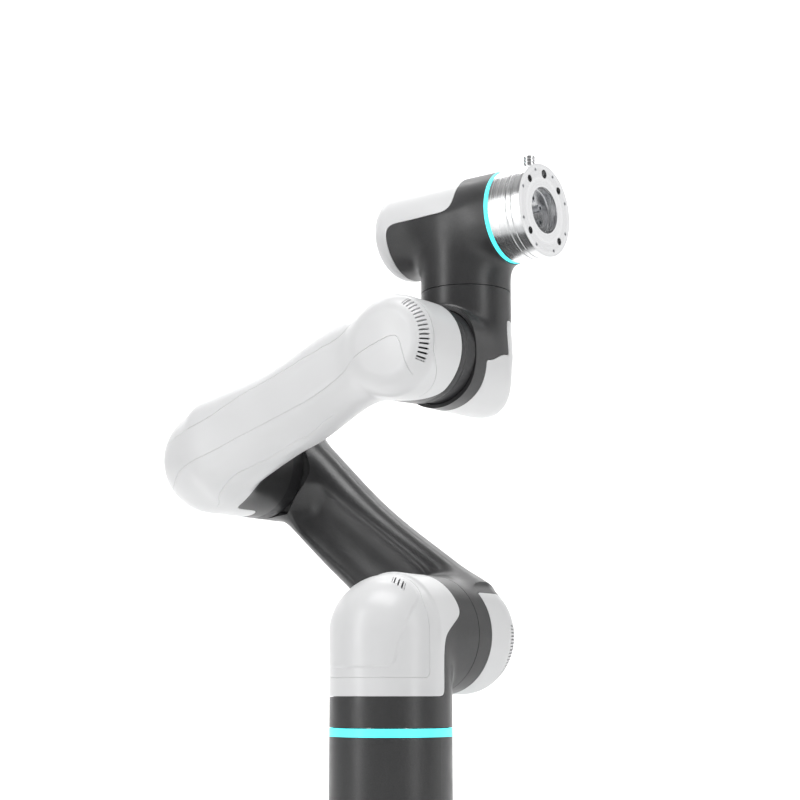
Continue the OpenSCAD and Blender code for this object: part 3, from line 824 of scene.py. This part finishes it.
def make_forearm():
    low = (ELBOW[X] - 41, HEAD_FRONT_Y - 3, ELBOW[Z] - 41)
    high = (WRIST[X] + 37, ELBOW_SEAM_Y + 6, WRIST[Z] + 40)
    link = Link(forearm_form, low, high, 1.35, "forearm")
    link.refine(lambda p: forearm_vents(p) < 1.5)
    link.refine(lambda p: forearm_vents(p) < 0.9)
    for line in (panel_top_line, panel_low_line, belly_line, head_line):
        link.cut_line(line)
    link.cut(forearm_kept)
    link.cut_gap(forearm_cover_region)
    link.cut(black_region)
    link.cut(forearm_vents)
    rest = lambda p: np.maximum(forearm_kept(p), GAP / 2 - forearm_cover_region(p))
    casting = lambda p: np.maximum(rest(p), -black_region(p))
    sleeves = lambda p: np.maximum(rest(p), black_region(p))
    cover = lambda p: np.maximum(forearm_cover_region(p) + GAP / 2, -forearm_vents(p))
    link.piece("forearm_shell", cover, SHELL_T, "white_shell", WHITE,
               ["forearm_cover", "forearm_front_panel"], forearm_groove)
    link.piece("forearm_housing", casting, HOUSING_T, "charcoal_casting", CHARCOAL)
    link.piece("forearm_sleeves", sleeves, HOUSING_T, "black_plastic", BLACK, ["wrist_1_neck_ring"])
    link.inner("forearm_frame", lambda p: forearm_kept(p) + 0.4, "charcoal_casting", INNER_PAINTED_SHADE, 2.5,
               ["forearm_casting"])


# ---- First wrist ----------------------------------------------------------------------------------

WRIST_CAP_EDGE_Y = 39.4
WRIST_BACK_Y = 55.7        # where the housing starts to round off behind the second wrist's axis
WRIST_STRIP_Y = 65.5
WRIST_STRIP_TOP = WRIST[Z] + 28


def wrist_1_form(p):
    body = drum(p, WRIST, Y, WRIST_R, 17, 120)
    back = np.hypot(p[..., X] - WRIST[X], np.maximum(p[..., Y] - WRIST_BACK_Y, 0)) - WRIST_R
    stub = drum(p, STUB, Z, STUB_R, WRIST[Z] - 4, STUB_SEAM_Z + 10, 8)
    return smooth_min(smooth_max(body, back, 16), stub, 5)


def wrist_1_kept(p):
    return np.maximum(WRIST_SEAM_Y - p[..., Y], p[..., Z] - STUB_SEAM_Z)


def wrist_1_cap_region(p):
    y, z = p[..., Y], p[..., Z]
    low = smooth_max(WRIST_CAP_EDGE_Y - y, z - WRIST[Z] - ramp(y, (42, -3.5), (62, 3.0)), 4)
    strip = smooth_max(WRIST_STRIP_Y - y, z - WRIST_STRIP_TOP, 5)
    return smooth_min(low, strip, 4)


def make_wrist_1():
    low = (WRIST[X] - 38, 14, WRIST[Z] - 38)
    high = (WRIST[X] + 38, 97, STUB_SEAM_Z + 4)
    link = Link(wrist_1_form, low, high, 1.2, "wrist_1")
    link.cut(lambda p: WRIST_SEAM_Y - p[..., Y])
    link.cut(lambda p: p[..., Z] - STUB_SEAM_Z)
    link.cut_gap(wrist_1_cap_region)
    casting = lambda p: np.maximum(wrist_1_kept(p), GAP / 2 - wrist_1_cap_region(p))
    cap = lambda p: np.maximum(wrist_1_kept(p), wrist_1_cap_region(p) + GAP / 2)
    link.piece("wrist_1_housing", casting, HOUSING_T, "charcoal_casting", CHARCOAL)
    link.piece("wrist_1_cap_shell", cap, SHELL_T, "white_shell", WHITE, ["wrist_1_cap"])
    link.inner("wrist_1_frame", lambda p: wrist_1_kept(p) + 0.4, "charcoal_casting", INNER_PAINTED_SHADE, 2.5,
               ["wrist_1_casting"])


# ---- Second wrist ---------------------------------------------------------------------------------

TOP_EDGE_X = TOOL[X] + 11
TOP_EDGE_Z = TOOL[Z] + 1.5
BACK_EDGE_X = TOOL[X] - 45.5


def wrist_2_form(p):
    tube = drum(p, TOOL, X, TUBE_R, TOOL[X] + TUBE_BACK_X, RING_BACK_X + 8, TUBE_ROUND)
    stub = drum(p, STUB, Z, STUB_R, TUBE_FOOT_Z - 10, TOOL[Z])
    return smooth_min(tube, stub, 16)


def wrist_2_kept(p):
    return np.maximum(TUBE_FOOT_Z - p[..., Z], p[..., X] - RING_BACK_X)


def wrist_2_cover_region(p):
    x, z = p[..., X], p[..., Z]
    top = smooth_max(x - TOP_EDGE_X, TOP_EDGE_Z - z, 16)
    return smooth_min(x - BACK_EDGE_X, top, 14)


def make_wrist_2():
    low = (TOOL[X] + TUBE_BACK_X - 3, TOOL[Y] - 35, TUBE_FOOT_Z - 4)
    high = (RING_BACK_X + 4, TOOL[Y] + 35, TOOL[Z] + 35)
    link = Link(wrist_2_form, low, high, 1.2, "wrist_2")
    link.cut(lambda p: TUBE_FOOT_Z - p[..., Z])
    link.cut(lambda p: p[..., X] - RING_BACK_X)
    link.cut_gap(wrist_2_cover_region)
    casting = lambda p: np.maximum(wrist_2_kept(p), GAP / 2 - wrist_2_cover_region(p))
    cover = lambda p: np.maximum(wrist_2_kept(p), wrist_2_cover_region(p) + GAP / 2)
    link.piece("wrist_2_housing", casting, HOUSING_T, "charcoal_casting", CHARCOAL)
    link.piece("wrist_2_cover_shell", cover, SHELL_T, "white_shell", WHITE, ["wrist_2_cover"])
    link.inner("wrist_2_frame", lambda p: wrist_2_kept(p) + 0.4, "charcoal_casting", INNER_PAINTED_SHADE, 2.5,
               ["wrist_2_casting"])


# ---- CAD nodes that stay --------------------------------------------------------------------------


def finish_cad_nodes():
    """Each CAD node that is still shown takes the detailed material of its slot."""
    finishes = {"charcoal_casting": CHARCOAL, "white_shell": WHITE, "cyan_light": CYAN, "steel": STEEL,
                "turned_aluminium": TURNED, "alloy": TURNED, "black_plastic": BLACK,
                "board_green": BOARD, "copper_windings": COPPER}
    for subpart in frame["record"]["subparts"]:
        mesh = frame["nodes"][subpart["node"]].data
        mesh.materials.clear()
        mesh.materials.append(finishes[subpart["material_slot"]])


# ---- Stage ----------------------------------------------------------------------------------------

CAMERA_PLACE = (0.6532, -0.8458, 0.1321)
CAMERA_AZIMUTH = 37.37
CAMERA_PITCH = 10.0
LENS_MM, SENSOR_MM = 74.67, 36.0


def make_stage():
    mesh = bpy.data.meshes.new("floor")
    side, depth, rise, bend = 6.0, 3.0, 4.0, 1.0
    turn = math.radians(CAMERA_AZIMUTH)
    right = np.array([math.cos(turn), math.sin(turn), 0])
    away = np.array([-math.sin(turn), math.cos(turn), 0])
    path = [(-4.0, 0.0), (depth - bend, 0.0)]
    path += [(depth - bend + bend * math.sin(a), bend * (1 - math.cos(a)))
             for a in np.linspace(0, math.pi / 2, 13)[1:]]
    path.append((depth, rise))
    points = [right * s + away * d + np.array([0, 0, h]) for d, h in path for s in (-side, side)]
    faces = [(2 * i, 2 * i + 1, 2 * i + 3, 2 * i + 2) for i in range(len(path) - 1)]
    mesh.from_pydata([tuple(p) for p in points], [], faces)
    mesh.polygons.foreach_set("use_smooth", np.ones(len(faces), bool))
    floor = bpy.data.objects.new("floor", mesh)
    bpy.context.scene.collection.objects.link(floor)
    paper = Finish("pale_paper", (0.93, 0.93, 0.93), 0.9)
    paper.bump(paper.noise(2, 2), 0.02)
    mesh.materials.append(paper.material)


def from_camera(right, away, up):
    """A place given in metres to the camera's right, away from it past the arm, and up."""
    turn = math.radians(CAMERA_AZIMUTH)
    return Vector((right * math.cos(turn) - away * math.sin(turn),
                   right * math.sin(turn) + away * math.cos(turn), up))


def add_light(name, place, aim, size, power):
    """A soft area light at a place, looking at another place, both as from_camera has them."""
    place, aim = from_camera(*place), from_camera(*aim)
    data = bpy.data.lights.new(name, "AREA")
    data.shape, data.size, data.size_y, data.energy = "RECTANGLE", size[0], size[1], power
    light = bpy.data.objects.new(name, data)
    light.location = place
    light.rotation_euler = (aim - place).to_track_quat("-Z", "Y").to_euler()
    bpy.context.scene.collection.objects.link(light)


def make_lights():
    world = bpy.data.worlds.new("studio")
    bpy.context.scene.world = world
    world.use_nodes = True
    background = world.node_tree.nodes["Background"]
    background.inputs["Color"].default_value = (1, 1, 1, 1)
    background.inputs["Strength"].default_value = 0.2
    middle = (0, 0, 0.3)
    add_light("left_strip", (-1.3, -0.7, 0.5), middle, (0.35, 1.6), 9)
    add_light("right_strip", (1.0, -1.0, 0.5), middle, (0.3, 1.6), 6)
    add_light("top_soft", (-0.3, -0.5, 1.9), middle, (1.2, 0.8), 20)
    add_light("right_card", (1.7, 0.45, 0.55), middle, (1.2, 1.6), 5)
    add_light("backdrop_wash", (0, 1.5, 2.6), (0, 3.2, 0.6), (4.0, 1.0), 112)


def make_camera():
    data = bpy.data.cameras.new("camera")
    data.lens, data.sensor_width = LENS_MM, SENSOR_MM
    camera = bpy.data.objects.new("camera", data)
    camera.location = CAMERA_PLACE
    camera.rotation_euler = (math.radians(90 + CAMERA_PITCH), 0, math.radians(CAMERA_AZIMUTH))
    bpy.context.scene.collection.objects.link(camera)
    bpy.context.scene.camera = camera


make_camera()
make_stage()
make_lights()
finish_cad_nodes()
make_shoulder()
make_upper_arm()
make_forearm()
make_wrist_1()
make_wrist_2()
bpy.context.scene.view_settings.view_transform = "Standard"
